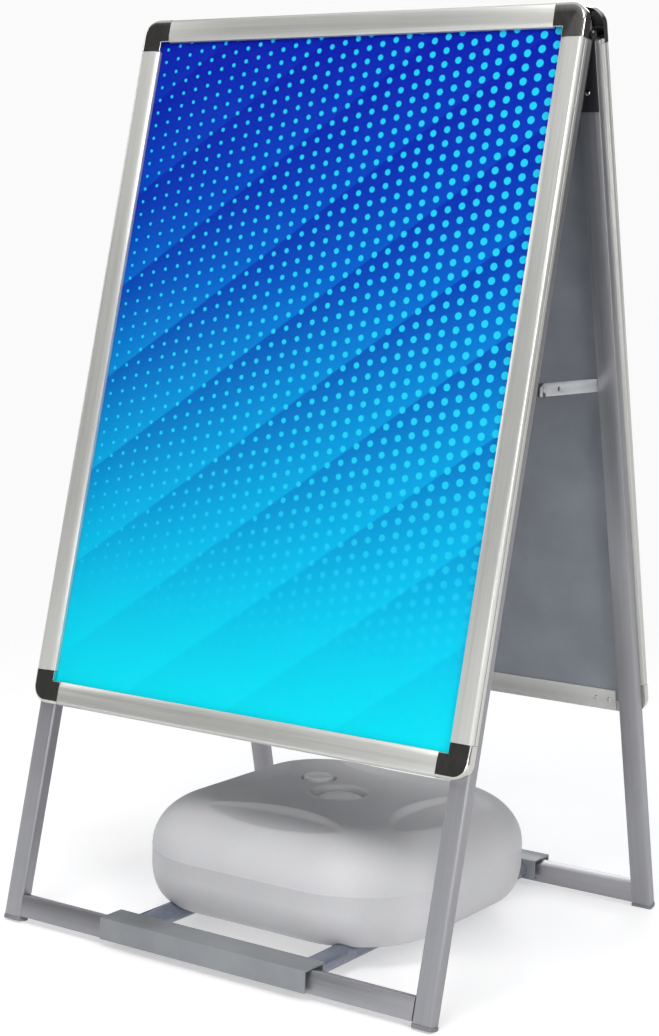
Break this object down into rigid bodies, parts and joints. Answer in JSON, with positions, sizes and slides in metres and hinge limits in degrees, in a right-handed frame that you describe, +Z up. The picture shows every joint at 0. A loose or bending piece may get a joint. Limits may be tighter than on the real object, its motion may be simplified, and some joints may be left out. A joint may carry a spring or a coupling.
{
  "type": "sandwich board",
  "caption": "Double-sided pavement sign with hinged snap frames, hooked side stays and a water ballast tank on a cradle.",
  "frame": {"origin": "on the floor, at the centre of the footprint", "axes": "+Z up; +X to the right seen from the front; the front frame faces -Y; the hinge line runs along X"},
  "size_m": [0.632, 0.58, 1.1239],
  "materials": {
    "anodised_rail": "satin anodised, brushed along the rail",
    "leg_silver": "satin anodised tube",
    "chrome": "polished",
    "grey_steel": "silver-grey powder coat",
    "tube_paint": "glossy blue-grey paint",
    "zinc_steel": "zinc plated",
    "spring_steel": "bright",
    "sheet_grey": "fine satin",
    "black_plate": "matte black",
    "cap_grey": "fine moulded grain",
    "poster_print": "printed sheet",
    "clear_sheet": "clear anti-glare plastic",
    "tank_plastic": "blow-moulded, satin",
    "rubber_seal": "soft"
  },
  "bodies": {
    "front_frame": {"front_leg_left": "leg_silver", "front_leg_right": "leg_silver", "front_crossbar": "leg_silver", "front_foot_caps": "cap_grey", "front_base_left": "anodised_rail", "front_base_right": "anodised_rail", "front_base_top": "anodised_rail", "front_base_bottom": "anodised_rail", "front_snap_springs": "spring_steel", "front_corners": "chrome", "front_back_sheet": "sheet_grey", "front_poster": "poster_print", "front_cover_sheet": "clear_sheet", "front_head_plate": "black_plate", "front_frame_rivets": "chrome", "front_hinge_leaves": "black_plate", "hinge_pins": "chrome", "stay_rivets_front": "chrome"},
    "rear_frame": {"rear_leg_left": "leg_silver", "rear_leg_right": "leg_silver", "rear_crossbar": "leg_silver", "rear_foot_caps": "cap_grey", "rear_base_left": "anodised_rail", "rear_base_right": "anodised_rail", "rear_base_top": "anodised_rail", "rear_base_bottom": "anodised_rail", "rear_snap_springs": "spring_steel", "rear_corners": "chrome", "rear_back_sheet": "sheet_grey", "rear_poster": "poster_print", "rear_cover_sheet": "clear_sheet", "rear_head_plate": "black_plate", "rear_frame_rivets": "chrome", "rear_hinge_leaves": "black_plate", "stay_rivets_rear": "chrome"},
    "front_left_rail": {"front_snap_left": "anodised_rail"},
    "front_right_rail": {"front_snap_right": "anodised_rail"},
    "front_top_rail": {"front_snap_top": "anodised_rail"},
    "front_bottom_rail": {"front_snap_bottom": "anodised_rail"},
    "rear_left_rail": {"rear_snap_left": "anodised_rail"},
    "rear_right_rail": {"rear_snap_right": "anodised_rail"},
    "rear_top_rail": {"rear_snap_top": "anodised_rail"},
    "rear_bottom_rail": {"rear_snap_bottom": "anodised_rail"},
    "stay_arm_left": {"stay_arm_left": "zinc_steel", "stay_stud_left": "chrome"},
    "stay_hook_left": {"stay_hook_left": "zinc_steel"},
    "stay_arm_right": {"stay_arm_right": "zinc_steel", "stay_stud_right": "chrome"},
    "stay_hook_right": {"stay_hook_right": "zinc_steel"},
    "cradle": {"front_channel": "grey_steel", "rear_channel": "grey_steel", "cradle_tube_left": "tube_paint", "cradle_tube_right": "tube_paint"},
    "tank": {"tank_shell": "tank_plastic", "filler_neck": "tank_plastic", "centre_plug": "tank_plastic"},
    "cap": {"filler_cap": "tank_plastic", "filler_seal": "rubber_seal"}
  },
  "joints": [
    {"name": "rear_frame_fold", "type": "hinge", "parent": "front_frame", "child": "rear_frame", "pos_m": [0, 0, 1.08902], "axis": [-1, 0, 0], "range_deg": [0, 0.2]},
    {"name": "front_left_rail_open", "type": "hinge", "parent": "front_frame", "child": "front_left_rail", "pos_m": [-0.3135, -0.02545, 1.09523], "axis": [0, -0.2368, -0.9715], "range_deg": [0, 95]},
    {"name": "front_right_rail_open", "type": "hinge", "parent": "front_frame", "child": "front_right_rail", "pos_m": [0.3135, -0.02545, 1.09523], "axis": [0, 0.2368, 0.9715], "range_deg": [0, 95]},
    {"name": "front_top_rail_open", "type": "hinge", "parent": "front_frame", "child": "front_top_rail", "pos_m": [0, -0.01918, 1.12097], "axis": [-1, 0, 0], "range_deg": [0, 95]},
    {"name": "front_bottom_rail_open", "type": "hinge", "parent": "front_frame", "child": "front_bottom_rail", "pos_m": [0, -0.22617, 0.27184], "axis": [1, 0, 0], "range_deg": [0, 95]},
    {"name": "rear_left_rail_open", "type": "hinge", "parent": "rear_frame", "child": "rear_left_rail", "pos_m": [-0.3135, 0.02545, 1.09523], "axis": [0, -0.2368, 0.9715], "range_deg": [0, 95]},
    {"name": "rear_right_rail_open", "type": "hinge", "parent": "rear_frame", "child": "rear_right_rail", "pos_m": [0.3135, 0.02545, 1.09523], "axis": [0, 0.2368, -0.9715], "range_deg": [0, 95]},
    {"name": "rear_top_rail_open", "type": "hinge", "parent": "rear_frame", "child": "rear_top_rail", "pos_m": [0, 0.01918, 1.12097], "axis": [1, 0, 0], "range_deg": [0, 95]},
    {"name": "rear_bottom_rail_open", "type": "hinge", "parent": "rear_frame", "child": "rear_bottom_rail", "pos_m": [0, 0.22617, 0.27184], "axis": [-1, 0, 0], "range_deg": [0, 95]},
    {"name": "stay_arm_left_swing", "type": "hinge", "parent": "front_frame", "child": "stay_arm_left", "pos_m": [0, -0.10782, 0.68852], "axis": [-1, 0, 0], "range_deg": [0, 90]},
    {"name": "stay_hook_left_lift", "type": "hinge", "parent": "rear_frame", "child": "stay_hook_left", "pos_m": [0, 0.10782, 0.68852], "axis": [-1, 0, 0], "range_deg": [0, 74]},
    {"name": "stay_arm_right_swing", "type": "hinge", "parent": "front_frame", "child": "stay_arm_right", "pos_m": [0, -0.10782, 0.68852], "axis": [-1, 0, 0], "range_deg": [0, 90]},
    {"name": "stay_hook_right_lift", "type": "hinge", "parent": "rear_frame", "child": "stay_hook_right", "pos_m": [0, 0.10782, 0.68852], "axis": [-1, 0, 0], "range_deg": [0, 74]},
    {"name": "cradle_slide", "type": "slide", "parent": "front_frame", "child": "cradle", "axis": [1, 0, 0], "range_m": [-0.13, 0.13]},
    {"name": "tank_lift", "type": "slide", "parent": "cradle", "child": "tank", "axis": [0, 0, 1], "range_m": [0, 0.04]},
    {"name": "filler_cap_turn", "type": "hinge", "parent": "tank", "child": "cap", "pos_m": [-0.062, 0.042, 0.17], "axis": [0, 0, 1], "range_deg": [0, 270]}
  ]
}
